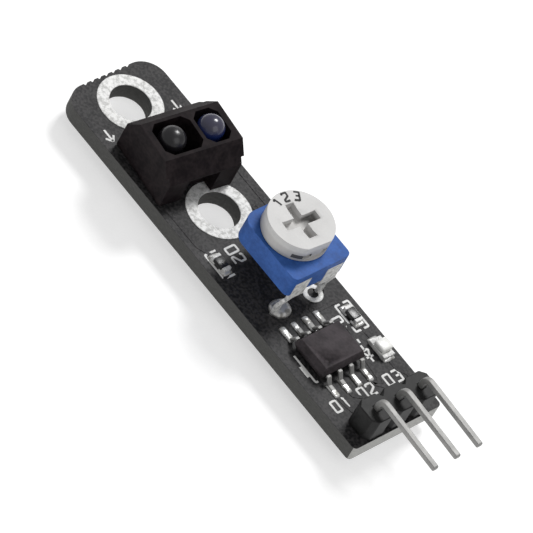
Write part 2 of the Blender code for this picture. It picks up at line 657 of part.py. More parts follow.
def make_lamp():
    (x, y), floor = LAMP_PLACE, BOARD_TOP + GAP
    base_length = LAMP_LENGTH - 2 * LAMP_CAP - 2 * GAP
    middle = floor + LAMP_BASE_HEIGHT / 2
    box("indicator_base", (base_length, LAMP_WIDTH, LAMP_BASE_HEIGHT), (x, y, middle), LAMP_WHITE)
    for side, sign in (("near", 1), ("far", -1)):
        centre = (x + sign * (LAMP_LENGTH - LAMP_CAP) / 2, y, middle)
        box(f"indicator_terminal_{side}", (LAMP_CAP, LAMP_WIDTH, LAMP_BASE_HEIGHT), centre, TIN)
    lens_z = floor + LAMP_BASE_HEIGHT + GAP + LAMP_LENS_HEIGHT / 2
    size = (LAMP_LENS_LENGTH, LAMP_WIDTH, LAMP_LENS_HEIGHT)
    box("indicator_lens", size, (x, y, lens_z), LAMP_CLEAR, LAMP_LENS_BEVEL)


# ----------------------------------------------------------------- header

def header_outline():
    """Plan of the three-way block, waisted between its segments."""
    a, b, c = HEADER_DEPTH / 2, PIN_PITCH / 2, HEADER_CHAMFER
    near, far = [], []
    for x, y in PIN_PLACES.values():
        near += [(x + a - c, y - b), (x + a, y - b + c), (x + a, y + b - c), (x + a - c, y + b)]
        far += [(x - a + c, y - b), (x - a, y - b + c), (x - a, y + b - c), (x - a + c, y + b)]
    rim = []
    for point in near + far[::-1]:
        if not rim or math.dist(point, rim[-1]) > c / 10:
            rim.append(point)
    return rim


def make_header():
    hole = PIN_WIDTH + 2 * GAP
    holes = [rectangle(where, hole, hole) for where in PIN_PLACES.values()]
    middle = flat_at(BOARD_TOP + GAP + HEADER_HEIGHT / 2)
    plate("header_block", [header_outline()] + holes, HEADER_HEIGHT, middle, HEADER_BLACK)


def pin_path():
    """Centre line of a pin: up through the block, over the bend and out."""
    height = BOARD_TOP + PIN_RISE
    bend = Vector((PIN_X + PIN_BEND_RADIUS, height - PIN_BEND_RADIUS))
    turn = math.pi / 2 + PIN_DROOP
    path = [Vector((PIN_X, 0.0))]
    for i in range(9):
        angle = math.pi - turn * i / 8
        path.append(bend + PIN_BEND_RADIUS * Vector((math.cos(angle), math.sin(angle))))
    tip_x = NEAR_END + PIN_REACH - PIN_WIDTH / 2 * math.sin(PIN_DROOP)
    run = (tip_x - path[-1].x) / math.cos(PIN_DROOP)
    path.append(path[-1] + run * Vector((math.cos(PIN_DROOP), -math.sin(PIN_DROOP))))
    return path


def make_pins():
    outline = strip_outline(pin_path(), PIN_WIDTH, PIN_TIP_CHAMFER)
    for name, (x, y) in PIN_PLACES.items():
        plate(f"header_pin_{name}", [outline], PIN_WIDTH, upright_xz(y), TIN)


def make_solder_cone(name, where, bore):
    """Solder fillet on the underside, with the lead's tail through it."""
    top, tip = BOARD_BOTTOM - GAP, BOARD_BOTTOM - GAP - SOLDER_CONE_HEIGHT
    waist = (SOLDER_CONE_RADIUS + bore) / 2
    profile = [
        (bore, top), (SOLDER_CONE_RADIUS, top), (waist, (2 * top + tip) / 3),
        (bore + SOLDER_CONE_LIP, tip), (bore, tip), (bore, top),
    ]
    turned(name, profile, 20, (where[0], where[1], 0), SOLDER)


def make_solder_cones():
    for name, where in PIN_PLACES.items():
        make_solder_cone(f"header_solder_{name}", where, PIN_WIDTH / math.sqrt(2) + GAP)
    leg = math.hypot(TERMINAL_LEG_WIDTH, TERMINAL_THICKNESS) / 2 + GAP
    for name, where in TERMINAL_LEGS.items():
        make_solder_cone(f"trimmer_solder_{name}", where, leg)
    for name, where in SENSOR_LEAD_PLACES.items():
        make_solder_cone(f"{name}_solder", (where.x, where.y), SENSOR_LEAD_WIDTH / math.sqrt(2) + GAP)


def main():
    make_board()
    make_rings()
    make_sensor_housing()
    make_lens("phototransistor_lens", LENS_PLACES["phototransistor"], LENS_DARK)
    make_lens("emitter_lens", LENS_PLACES["emitter"], LENS_CLEAR)
    make_sensor_leads()
    make_trimmer_base()
    make_dial()
    make_wiper()
    make_track()
    for name in TERMINAL_LEGS:
        make_terminal(name)
    make_chip()
    make_chip_leads()
    for number, where in RESISTOR_PLACES.items():
        make_resistor(number, where)
    make_lamp()
    make_header()
    make_pins()
    make_solder_cones()


main()
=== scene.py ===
# %% [markdown]
# # A line sensor module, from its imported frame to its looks
# A line-following robot carries this narrow board a few millimetres above the
# floor.  One lens sends infrared light down, the other sees what comes back,
# and a comparator turns that into a yes or no.  The frame gives the measured
# solids; the cells below round their edges, add solder, print and copper, and
# give every surface its finish.

# %% Load the frame
import json
import math

import bmesh
import bpy
from mathutils import Matrix, Vector


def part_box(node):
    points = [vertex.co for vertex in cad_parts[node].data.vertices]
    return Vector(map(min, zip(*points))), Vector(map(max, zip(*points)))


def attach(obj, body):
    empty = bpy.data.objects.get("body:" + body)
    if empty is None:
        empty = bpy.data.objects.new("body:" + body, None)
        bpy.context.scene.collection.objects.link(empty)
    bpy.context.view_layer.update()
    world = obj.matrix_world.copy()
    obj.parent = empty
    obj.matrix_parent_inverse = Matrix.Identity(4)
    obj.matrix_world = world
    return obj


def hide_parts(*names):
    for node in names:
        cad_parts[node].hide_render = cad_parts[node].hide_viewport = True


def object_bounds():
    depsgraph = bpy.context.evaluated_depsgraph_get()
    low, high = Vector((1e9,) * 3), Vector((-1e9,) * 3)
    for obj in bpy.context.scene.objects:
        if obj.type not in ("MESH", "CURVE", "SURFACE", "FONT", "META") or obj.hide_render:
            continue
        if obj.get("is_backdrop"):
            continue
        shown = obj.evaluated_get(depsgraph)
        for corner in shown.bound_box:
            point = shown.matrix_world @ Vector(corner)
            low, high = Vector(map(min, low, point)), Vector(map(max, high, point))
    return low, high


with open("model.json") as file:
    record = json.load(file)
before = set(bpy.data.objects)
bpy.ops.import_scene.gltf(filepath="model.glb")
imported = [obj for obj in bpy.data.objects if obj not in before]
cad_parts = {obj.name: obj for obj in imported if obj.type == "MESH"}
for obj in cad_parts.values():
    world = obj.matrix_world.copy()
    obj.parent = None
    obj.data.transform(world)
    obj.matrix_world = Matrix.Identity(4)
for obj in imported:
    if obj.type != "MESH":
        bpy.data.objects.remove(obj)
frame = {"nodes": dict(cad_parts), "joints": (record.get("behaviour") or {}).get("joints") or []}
cad_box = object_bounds()
MM = 0.001
board_low, board_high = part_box("circuit_board")
BOARD_TOP, BOARD_BOTTOM = board_high.z, board_low.z
board_size = [round(v / MM, 2) for v in board_high - board_low]
print("frame:", len(frame["nodes"]), "nodes, board", board_size, "mm")

# %% [markdown]
# ## Where to stand
# A long lens from far away keeps the board's edges nearly parallel.  The
# camera is given as a point to look at, a direction, a distance and a roll,
# because those are the numbers that a person would turn by hand.

# %% Camera
AIM = Vector((-0.8 * MM, 0.07 * MM, BOARD_TOP))
AZIMUTH, ELEVATION, ROLL = math.radians(25.77), math.radians(46.98), math.radians(30.95)
CAMERA_DISTANCE = 421.2 * MM
LENS_MM = 351.1

toward_camera = Vector((
    math.sin(AZIMUTH) * math.cos(ELEVATION),
    -math.cos(AZIMUTH) * math.cos(ELEVATION),
    math.sin(ELEVATION),
))
camera = bpy.data.objects.new("camera", bpy.data.cameras.new("camera"))
bpy.context.scene.collection.objects.link(camera)
camera.data.lens = LENS_MM
camera.data.clip_start, camera.data.clip_end = 10 * MM, 3.0
camera.rotation_mode = "QUATERNION"
camera.location = AIM + toward_camera * CAMERA_DISTANCE
camera.rotation_quaternion = (
    (-toward_camera).to_track_quat("-Z", "Y") @ Matrix.Rotation(ROLL, 3, "Z").to_quaternion())
bpy.context.scene.camera = camera
print("camera", [round(v / MM, 1) for v in camera.location], "mm")

# %% [markdown]
# ## Light and floor
# The module lies on a pale table.  One broad lamp high on the emitter's side
# throws short soft shadows across the board, a wide sheet of light behind the
# header puts a sheen on the bent pins, and a bright room fills the rest.

# %% Lights
LAMP_DISTANCE = 0.4
ROOM_BRIGHTNESS = 0.40


def lamp(name, direction, size, power):
    """A square area lamp that looks at the module from a given direction."""
    light = bpy.data.lights.new(name, "AREA")
    light.size, light.energy = size, power
    stand = bpy.data.objects.new(name, light)
    bpy.context.scene.collection.objects.link(stand)
    away = Vector(direction).normalized()
    stand.location = AIM + away * LAMP_DISTANCE
    stand.rotation_mode = "QUATERNION"
    stand.rotation_quaternion = (-away).to_track_quat("-Z", "Y")


lamp("key", (-0.30, 0.80, 1.15), 0.11, 1.1)
lamp("sheen", (0.9, -0.1, 0.9), 0.30, 0.25)

world = bpy.data.worlds.new("room")
bpy.context.scene.world = world
world.use_nodes = True
room = world.node_tree.nodes["Background"].inputs
room["Color"].default_value = (1.0, 1.0, 1.0, 1.0)
room["Strength"].default_value = ROOM_BRIGHTNESS
bpy.context.scene.view_settings.view_transform = "Standard"

# %% [markdown]
# ## Node trees written as sums
# Materials and geometry trees are the same thing to Python: boxes joined by
# wires.  A Wire is one wire's end, and adding, multiplying or comparing wires
# puts the matching Math node in the tree.  Everything else comes from one
# method, add, which sets a node's settings first and then its sockets.

# %% Wire
class Wire:
    """The end of one wire in a node tree, which takes part in sums."""

    def __init__(self, graph, socket):
        self.graph, self.socket = graph, socket

    def math(self, operation, *values):
        return self.graph.add("ShaderNodeMath", {"operation": operation}, list(values))

    def __add__(self, other):
        return self.math("ADD", self, other)

    def __sub__(self, other):
        return self.math("SUBTRACT", self, other)

    def __rsub__(self, other):
        return self.math("SUBTRACT", other, self)

    def __mul__(self, other):
        return self.math("MULTIPLY", self, other)

    def __pow__(self, other):
        return self.math("POWER", self, other)

    def __gt__(self, other):
        return self.math("GREATER_THAN", self, other)

    def __lt__(self, other):
        return self.math("LESS_THAN", self, other)

    def sine(self):
        return self.math("SINE", self)

    def absolute(self):
        return self.math("ABSOLUTE", self)

    def larger(self, other):
        return self.math("MAXIMUM", self, other)

    __radd__, __rmul__ = __add__, __mul__


print("a Wire takes part in sums")

# %% Graph
class Graph:
    """A node tree that is filled from Python."""

    def __init__(self, tree):
        self.tree = tree

    def feed(self, socket, value):
        """Join a wire to a socket, or set the socket's own value."""
        if isinstance(value, Wire):
            self.tree.links.new(value.socket, socket)
        elif socket.type == "RGBA" and len(value) == 3:
            socket.default_value = (*value, 1.0)
        else:
            socket.default_value = value

    def add(self, kind, settings=None, inputs=(), out=0):
        """A node of any kind: its settings first, then its sockets by name or in order."""
        node = self.tree.nodes.new(kind)
        for key, value in (settings or {}).items():
            setattr(node, key, value)
        pairs = inputs.items() if isinstance(inputs, dict) else enumerate(inputs)
        for key, value in pairs:
            self.feed(node.inputs[key], value)
        return Wire(self, node.outputs[out])


print("a Graph takes nodes of any kind")

# %% [markdown]
# ## Finishes
# A Finish is one material.  Its patterns are read from Object coordinates, in
# metres, so that a 0.2 mm grain is a 0.2 mm grain on every piece, and they
# stay put when the dial turns.

# %% Finish
class Finish(Graph):
    """One material: patterns on Object coordinates that feed one shader."""

    def __init__(self, name, **plain):
        self.material = bpy.data.materials.new(name)
        self.material.use_nodes = True
        super().__init__(self.material.node_tree)
        self.shader = self.tree.nodes["Principled BSDF"]
        self.where = self.add("ShaderNodeTexCoord", out="Object")
        self.set(**plain)

    def set(self, **sockets):
        for name, value in sockets.items():
            self.feed(self.shader.inputs[name.replace("_", " ")], value)
        return self

    def axis(self, letter):
        return self.add("ShaderNodeSeparateXYZ", inputs=[self.where], out="XYZ".index(letter))

    def grain(self, size, detail=2.0, stretch=(1.0, 1.0, 1.0)):
        """Soft random pattern from 0 to 1, its lumps about one size wide."""
        at = self.add(
            "ShaderNodeMapping", {"vector_type": "POINT"}, {"Vector": self.where, "Scale": stretch})
        return self.add("ShaderNodeTexNoise", inputs={
            "Vector": at, "Scale": 1.0 / size, "Detail": detail}, out="Fac")

    def ease(self, value, low, high):
        """0 below low, 1 above high, and a soft step between."""
        return self.add("ShaderNodeMapRange", {"interpolation_type": "SMOOTHSTEP"},
                        {"Value": value, "From Min": low, "From Max": high})

    def blend(self, share, one, other):
        """One colour where share is 0, the other where it is 1."""
        return self.add("ShaderNodeMix", {"data_type": "RGBA"}, {0: share, 6: one, 7: other}, out=2)

    def relief(self, height, depth):
        """Let a pattern stand out of the surface by depth metres."""
        normal = self.add(
            "ShaderNodeBump", inputs={"Strength": 1.0, "Distance": depth, "Height": height})
        return self.set(Normal=normal)


print("finishes ready")

# %% [markdown]
# ### Board
# The mask is a matt black lacquer with a fine orange-peel, laid over woven
# glass that shows through as a faint check.  The sawn edges show the laminate
# itself: grey down the sides, where the mask ran over, and paler at the
# header's end.

# %% Solder mask and laminate
WEAVE_PITCH = 0.42 * MM
MASK_SKIN = 0.04 * MM
END_BAND_DEPTH = 0.2 * MM

mask = Finish("solder mask", Metallic=0.0, Specular_IOR_Level=0.18)
x, y, z = (mask.axis(letter) for letter in "XYZ")
speckle = mask.grain(0.26 * MM, 3.0)
cloud = mask.grain(2.6 * MM, 2.0)
check = (x * (2 * math.pi / WEAVE_PITCH)).sine() * (y * (2 * math.pi / WEAVE_PITCH)).sine()
lacquer = mask.blend(
    mask.ease(speckle * 0.8 + cloud * 0.2, 0.38, 0.62), (0.012, 0.012, 0.013), (0.046, 0.044, 0.045))
on_edge = (z > BOARD_BOTTOM + MASK_SKIN) * (z < BOARD_TOP - MASK_SKIN)
# The edge band at the header's end is given a paler colour than the sides.
header_end_band = x > board_high.x - END_BAND_DEPTH
plies = mask.grain(0.5 * MM, 2.0, (1.0, 1.0, 7.0))
grey_edge = mask.blend(plies, (0.050, 0.050, 0.048), (0.115, 0.115, 0.110))
pale_edge = mask.blend(plies, (0.30, 0.30, 0.29), (0.52, 0.52, 0.50))
edge = mask.blend(header_end_band, grey_edge, pale_edge)
mask.set(
    Base_Color=mask.blend(on_edge, lacquer, edge),
    Roughness=0.50 + on_edge * 0.25 + speckle * 0.12 - cloud * 0.10,
)
mask.relief(speckle * (1 - on_edge) + check * 0.10 + plies * on_edge * 1.5, 0.03 * MM)
print("solder mask and laminate")

# %% [markdown]
# ### Metals
# Hot-air tinning leaves a bright, slightly lumpy skin.  Solder joints are
# glossier, and duller where the flux sat.  The pins, the chip's leads and the
# sensor's legs are plated, with fine drawing lines along them.

# %% Tin, solder and plated strip
tin = Finish("tinned copper", Metallic=0.15, Specular_IOR_Level=0.3)
lumps = tin.grain(0.40 * MM, 3.0)
frost = tin.grain(0.15 * MM, 2.0)
tin.set(
    Base_Color=tin.blend(
        tin.ease(lumps * 0.7 + frost * 0.3, 0.36, 0.60), (0.48, 0.48, 0.47), (0.80, 0.80, 0.79)),
    Roughness=0.50 + frost * 0.25,
)
tin.relief(lumps + frost * 0.15, 0.03 * MM)

solder = Finish("solder", Metallic=0.55)
lumps = solder.grain(0.5 * MM, 3.0)
flux = solder.ease(solder.grain(0.6 * MM, 2.0), 0.46, 0.64)
solder.set(
    Base_Color=solder.blend(flux, (0.66, 0.66, 0.65), (0.30, 0.295, 0.28)),
    Roughness=0.28 + flux * 0.25 + lumps * 0.1,
)
solder.relief(lumps, 0.05 * MM)

plated = Finish("plated strip", Metallic=0.6)
draw_lines = plated.grain(0.05 * MM, 2.0, (0.05, 1.0, 1.0))
smear = plated.grain(0.8 * MM, 2.0)
plated.set(
    Base_Color=plated.blend(smear, (0.24, 0.24, 0.235), (0.40, 0.395, 0.385)),
    Roughness=0.50 + draw_lines * 0.20,
)
plated.relief(draw_lines, 0.004 * MM)
print("metals:", tin.material.name, solder.material.name, plated.material.name)

# %% [markdown]
# ### Moulded plastics
# The same three things tell moulded plastics apart: how dark they are, how
# coarse the spark-eroded texture is, and how much the polish varies.  One
# helper mixes those, so that each plastic is a line of numbers.

# %% Moulded plastics
TONE_SIZE = 1.2 * MM


def moulded(name, dark, light, grain_mm, depth_mm, rough, shine=0.5):
    """A moulded plastic: two tones, the texture's size and depth, its roughness and its shine."""
    finish = Finish(name, Metallic=0.0, Specular_IOR_Level=shine)
    texture = finish.grain(grain_mm * MM, 3.0)
    tone = finish.grain(TONE_SIZE, 2.0)
    finish.set(
        Base_Color=finish.blend(finish.ease(tone * 0.6 + texture * 0.4, 0.3, 0.7), dark, light),
        Roughness=rough + texture * 0.15,
    )
    return finish.relief(texture, depth_mm * MM)


housing_black = moulded(
    "sensor black", (0.006, 0.004, 0.005), (0.020, 0.015, 0.016), 0.30, 0.010, 0.55, shine=0.08)
header_black = moulded(
    "header black", (0.006, 0.006, 0.006), (0.020, 0.020, 0.020), 0.30, 0.010, 0.45, shine=0.2)
chip_black = moulded(
    "chip epoxy", (0.026, 0.022, 0.024), (0.062, 0.052, 0.057), 0.26, 0.012, 0.60, shine=0.2)
trimmer_blue = moulded(
    "trimmer blue", (0.024, 0.080, 0.28), (0.042, 0.130, 0.43), 0.25, 0.008, 0.50, shine=0.2)
lamp_white = moulded("lamp white", (0.70, 0.70, 0.68), (0.85, 0.85, 0.82), 0.10, 0.004, 0.35)
lamp_dome = moulded("lamp dome", (0.80, 0.80, 0.78), (0.95, 0.95, 0.92), 0.20, 0.004, 0.12)
resistor_glaze = moulded(
    "resistor glaze", (0.012, 0.012, 0.013), (0.03, 0.03, 0.03), 0.08, 0.004, 0.22)
track_film = moulded("resistance film", (0.02, 0.02, 0.02), (0.04, 0.04, 0.04), 0.06, 0.004, 0.6)
print_white = moulded("white print", (0.62, 0.62, 0.61), (0.86, 0.86, 0.85), 0.10, 0.004, 0.55)
print_black = moulded("black print", (0.010, 0.010, 0.010), (0.03, 0.03, 0.03), 0.08, 0.002, 0.6)
print("plastics:", len(bpy.data.materials), "materials so far")

# %% [markdown]
# ### Dial
# The dial is chalky off-white nylon.  Its slot is painted darker towards the
# bottom, as painted shade; one arm of the slot has a painted dark spot of shade
# at its end; and the two stop notches in its side are painted dark as shade,
# being too narrow for light to reach in.  All three are read from height and
# distance, so none of them is placed by hand.

# %% Dial finish
dial_low, dial_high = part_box("trimmer_dial")
dial_joint = next(j for j in frame["joints"] if j["name"] == "trimmer_turn")
dial_axis = Vector(dial_joint["pos_m"])
dial_middle = Vector((*dial_axis[:2], dial_high.z))
SLOT_DEPTH = 0.9 * MM
# Painted shade: place and size of the dark spot at one arm's end of the slot.
ARM_SHADE_PLACE = Vector((0.1 * MM, 1.15 * MM, 0.0))  # from the middle of the dial's top
ARM_SHADE_RADIUS, ARM_SHADE_REACH = 0.8 * MM, 1.3 * MM
SHADE_TOP, SHADE_FOOT = 0.94 * MM, 1.36 * MM  # in the notches, below the dial's top
SHADE_INNER, SHADE_OUTER = 1.9 * MM, 2.62 * MM  # and from the dial's axis

dial_white = Finish("dial nylon", Metallic=0.0)
across, level = dial_white.axis("X"), dial_white.axis("Z")
chalk = dial_white.grain(0.30 * MM, 3.0)
cloud = dial_white.grain(1.6 * MM, 2.0)
# Painted shade: the slot is darker towards its bottom, where little light gets in.
slot_floor_shade = 1 - dial_white.ease(level, dial_high.z - SLOT_DEPTH, dial_high.z - 0.35 * SLOT_DEPTH)
in_slot = dial_white.ease(cloud * 0.3 + slot_floor_shade * 0.7, 0.3, 0.9)
gap = dial_white.add(
    "ShaderNodeVectorMath", {"operation": "DISTANCE"},
    [dial_white.where, dial_middle + ARM_SHADE_PLACE], out="Value")
# Painted shade: the dark spot at one arm's end, only down in the slot.
arm_end_shade = (1 - dial_white.ease(gap, ARM_SHADE_RADIUS, ARM_SHADE_REACH)) * slot_floor_shade
notch = (level > dial_high.z - SHADE_FOOT) * (level < dial_high.z - SHADE_TOP)
notch = notch * (across < dial_middle.x + SHADE_OUTER) * (across > dial_middle.x + SHADE_INNER)
nylon = dial_white.blend(chalk * 0.5 + cloud * 0.5, (0.46, 0.455, 0.45), (0.68, 0.675, 0.665))
shaded = dial_white.blend(in_slot * 0.35, nylon, (0.30, 0.28, 0.26))
# Painted shade: the arm's dark spot and the notches take a near-black colour.
dial_white.set(
    Base_Color=dial_white.blend((arm_end_shade * 0.85).larger(notch * 0.9), shaded, (0.03, 0.028, 0.025)),
    Roughness=0.42 + chalk * 0.2,
)
dial_white.relief(chalk, 0.012 * MM)
print("dial finish, about the axis at", [round(v / MM, 2) for v in dial_axis[:2]], "mm")

# %% [markdown]
# ### Lenses
# The receiving lens is cast in black resin that only infrared passes.  The
# sending lens is water-clear, with a violet-blue cast deep down.  Nothing is
# modelled inside them, so both are opaque with a thin coat, and the cast is
# blended in by height.

# %% Lens finishes
CAST_DEEP, CAST_SHALLOW = 1.1 * MM, 0.35 * MM  # below the lens's top

lens_dark = Finish("infrared-pass resin", Metallic=0.0, Coat_Roughness=0.12)
haze = lens_dark.grain(0.7 * MM, 2.0)
lens_dark.set(
    Base_Color=lens_dark.blend(haze, (0.004, 0.004, 0.005), (0.014, 0.013, 0.016)),
    Roughness=0.24 + haze * 0.15,
    Coat_Weight=0.15,
)

lens_clear = Finish("clear resin", Metallic=0.0, Coat_Roughness=0.12)
_, lens_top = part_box("emitter_lens")
height = lens_clear.ease(lens_clear.axis("Z"), lens_top.z - CAST_DEEP, lens_top.z - CAST_SHALLOW)
haze = lens_clear.grain(0.8 * MM, 2.0)
lens_clear.set(
    Base_Color=lens_clear.blend(
        height * 0.9 + haze * 0.1, (0.008, 0.024, 0.13), (0.042, 0.040, 0.064)),
    Roughness=0.18 + haze * 0.10,
    Coat_Weight=0.3,
)
print("lens finishes:", lens_dark.material.name, "and", lens_clear.material.name)

# %% [markdown]
# ## Rounding what the frame gives
# The frame's solids have knife edges, and no moulded or stamped piece has
# those.  A copy of a solid is merged into clean faces, its edges get a small
# bevel, and weighted normals keep the big faces flat.  The bevel only takes
# material away, so the piece stays in the room that its solid has.

# %% Kept pieces and their edges
def keep(piece, body, slot, *stands_for):
    """Hang a finished piece on its body and hide the solids that it stands for."""
    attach(piece, body)
    if stands_for:
        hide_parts(*stands_for)
    print(f"{piece.name}: {len(piece.data.polygons)} faces")


def plain_mesh(obj):
    """Swap an object's modifiers for the mesh that they make."""
    graph = bpy.context.evaluated_depsgraph_get()
    mesh = bpy.data.meshes.new_from_object(obj.evaluated_get(graph))
    obj.modifiers.clear()
    obj.data = mesh
    return obj


def shaped(name, work, finish):
    """An object at the origin from a bmesh."""
    mesh = bpy.data.meshes.new(name)
    work.to_mesh(mesh)
    work.free()
    mesh.materials.append(finish.material)
    obj = bpy.data.objects.new(name, mesh)
    bpy.context.scene.collection.objects.link(obj)
    return obj


def soften(obj, width, segments=3, sharpest=25.0):
    """Round every edge that turns by more than sharpest degrees."""
    for polygon in obj.data.polygons:
        polygon.use_smooth = True
    edges = obj.modifiers.new("edges", "BEVEL")
    edges.width, edges.segments = width, segments
    edges.limit_method, edges.angle_limit = "ANGLE", math.radians(sharpest)
    edges.use_clamp_overlap = True
    normals = obj.modifiers.new("normals", "WEIGHTED_NORMAL")
    normals.keep_sharp = True
    return plain_mesh(obj)


print("edges can be rounded")

# %% Rounded copies of solids
SAME_POINT = 0.0004 * MM
NEARLY_FLAT = math.radians(0.6)


def join_flats(work):
    """Join neighbouring faces that lie in one plane."""
    bmesh.ops.dissolve_limit(work, angle_limit=NEARLY_FLAT, verts=work.verts, edges=work.edges)
    return work


def merged(solid):
    """A bmesh of a CAD solid with its doubles merged and its flat neighbours joined."""
    work = bmesh.new()
    work.from_mesh(frame["nodes"][solid].data)
    bmesh.ops.remove_doubles(work, verts=work.verts, dist=SAME_POINT)
    return join_flats(work)


def rounded(name, solid, finish, slot, width, segments=3):
    """A rounded copy of a solid, kept in its place on the module."""
    piece = soften(shaped(name, merged(solid), finish), width, segments)
    keep(piece, "module", slot, solid)


frame["nodes"]["circuit_board"].data.materials[0] = mask.material
print("the board keeps its own solid")

# %% [markdown]
# ## Sensor
# Two lenses stand in the wells of one black moulding.  A lens could be half a
# sphere on a cylinder, but a profile turned as on a lathe gives dome, side and
# foot as one closed mesh, and 64 steps hide the facets at this size.

# %% Turning a profile
def lathe(name, profile, centre, finish, steps=64):
    """Turn a profile of (radius, height) points, top first, about a vertical axis."""
    work = bmesh.new()
    rings = []
    for radius, height in profile:
        if radius == 0.0:  # on the axis, a whole ring is one point
            rings.append([work.verts.new((centre[0], centre[1], height))] * steps)
            continue
        rings.append([
            work.verts.new((
                centre[0] + radius * math.cos(2 * math.pi * i / steps),
                centre[1] + radius * math.sin(2 * math.pi * i / steps),
                height,
            )) for i in range(steps)
        ])
    for upper, lower in zip(rings, rings[1:]):
        for i in range(steps):
            corners = [upper[i], lower[i], lower[(i + 1) % steps], upper[(i + 1) % steps]]
            work.faces.new(list(dict.fromkeys(corners)))
    bmesh.ops.recalc_face_normals(work, faces=work.faces)
    for face in work.faces:
        face.smooth = True
    return shaped(name, work, finish)


print("profiles can be turned")

# %% Sensor housing, lenses and legs
DOME_STEPS = 16
LENS_FOOT = 0.3 * MM


def lens_profile(low, high, radius):
    """Dome, straight side and flat foot, inside the solid's height."""
    dome = [i * math.pi / 2 / DOME_STEPS for i in range(DOME_STEPS + 1)]
    profile = [(radius * math.sin(a), high - radius + radius * math.cos(a)) for a in dome]
    return profile + [(radius, low + LENS_FOOT), (radius, low), (0.0, low)]


rounded("sensor_shell", "sensor_housing", housing_black, "housing_black", 0.09 * MM)
for name, solid, finish, slot in (
    ("receiving_lens", "phototransistor_lens", lens_dark, "lens_dark"),
    ("sending_lens", "emitter_lens", lens_clear, "lens_clear"),
):
    low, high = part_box(solid)
    profile = lens_profile(low.z, high.z, (high.x - low.x) / 2)
    keep(lathe(name, profile, (low + high) / 2, finish), "module", slot, solid)
for device in ("phototransistor", "emitter"):
    for side in ("front", "back"):
        rounded(f"{device}_{side}_leg", f"{device}_{side}_lead", plated, "tin", 0.05 * MM, 2)

# %% [markdown]
# ## Trimmer
# The base is a blue moulding with a bore, in which the dial's boss turns.  The
# dial is turned, dished and then cut: two bars cross for the screwdriver's
# slot, two notches stop it at the ends of its turn, and one side is flattened.
# Cutting with solids is the plain way here, because the mould's own core
# makes the slot in just that way.

# %% Cutting tools
DIAL_TURN = math.radians(-4.0)


def cut_away(obj, *tools):
    """Take the tools' solids out of a piece."""
    for tool in tools:
        cut = obj.modifiers.new(tool.name, "BOOLEAN")
        cut.operation, cut.object, cut.solver = "DIFFERENCE", tool, "EXACT"
    plain_mesh(obj)
    for tool in tools:
        bpy.data.objects.remove(tool, do_unlink=True)
    return obj


def dial_cutter(name, size, centre, turn=0.0):
    """A box whose centre is given from the dial's axis, turned about that axis with the slot."""
    work = bmesh.new()
    bmesh.ops.create_cube(work, size=1.0)
    matrix = (
        Matrix.Translation((dial_axis[0], dial_axis[1], 0.0))
        @ Matrix.Rotation(DIAL_TURN + turn, 4, "Z")
        @ Matrix.Translation(centre) @ Matrix.Diagonal((*size, 1.0)))
    bmesh.ops.transform(work, matrix=matrix, verts=work.verts)
    return shaped(name, work, dial_white)


print("the slot lies at", round(math.degrees(DIAL_TURN)), "degrees")

# %% Trimmer case, dial and legs
DIAL_RADIUS, BOSS_RADIUS = 2.95 * MM, 2.32 * MM
DIAL_TOP, DIAL_SKIRT = dial_high.z, dial_high.z - 1.6 * MM
DISH_RADIUS, DISH_DEPTH = 2.1 * MM, 0.16 * MM
SLOT_SIZE = (3.5 * MM, 0.85 * MM, 2 * SLOT_DEPTH)
FLAT_INSET, FLAT_LIFT, FLAT_HEIGHT = 0.26 * MM, 0.08 * MM, 4 * MM
NOTCH_LENGTH, NOTCH_HEIGHT = 1.0 * MM, 0.45 * MM
NOTCH_INSET, NOTCH_DROP = 0.2 * MM, 1.15 * MM

rounded("trimmer_case", "trimmer_base", trimmer_blue, "trimmer_blue", 0.14 * MM, 4)
dial = lathe("dial", [
    (0.0, DIAL_TOP - DISH_DEPTH), (DISH_RADIUS * 0.6, DIAL_TOP - DISH_DEPTH), (DISH_RADIUS, DIAL_TOP),
    (DIAL_RADIUS, DIAL_TOP), (DIAL_RADIUS, DIAL_SKIRT),
    (BOSS_RADIUS, DIAL_SKIRT), (BOSS_RADIUS, dial_low.z), (0.0, dial_low.z),
], dial_axis, dial_white, steps=96)
notches = [
    dial_cutter(f"stop_notch_{side}", (NOTCH_LENGTH, width, NOTCH_HEIGHT),
                (DIAL_RADIUS - NOTCH_INSET, along, DIAL_TOP - NOTCH_DROP))
    for side, along, width in (("near", -0.85 * MM, 0.9 * MM), ("far", 1.05 * MM, 0.7 * MM))
]
cut_away(
    dial,
    dial_cutter("slot_long", SLOT_SIZE, (0, 0, DIAL_TOP)),
    dial_cutter("slot_cross", SLOT_SIZE, (0, 0, DIAL_TOP), math.pi / 2),
    *notches,
    dial_cutter("dial_flat", (2 * FLAT_INSET, 3 * DIAL_RADIUS, FLAT_HEIGHT),
                (DIAL_RADIUS, 0, DIAL_SKIRT + FLAT_LIFT + FLAT_HEIGHT / 2)),
)
work = bmesh.new()
work.from_mesh(dial.data)
join_flats(work).to_mesh(dial.data)
work.free()
keep(soften(dial, 0.10 * MM, sharpest=30.0), "dial", "dial_white", "trimmer_dial")
frame["nodes"]["trimmer_wiper"].data.materials[0] = plated.material
frame["nodes"]["resistance_track"].data.materials[0] = track_film.material

for name in ("left", "right", "rear"):
    rounded(f"trimmer_leg_{name}", f"trimmer_terminal_{name}", tin, "tin", 0.07 * MM)

# %% [markdown]
# ## Comparator, resistors and lamp
# These are the surface-mounted pieces: a moulded chip on eight bent leads,
# two glazed resistors with plated ends, and a lamp whose clear dome sits on
# a white base.  The leads could be swept along paths, but the frame's solids
# already hold the bends, so rounding them is enough.  The chip's first lead is
# marked by a shallow round dimple.

# %% Chip and its leads
DIMPLE_RADIUS, DIMPLE_DEPTH, DIMPLE_INSET = 0.24 * MM, 0.04 * MM, 0.85 * MM

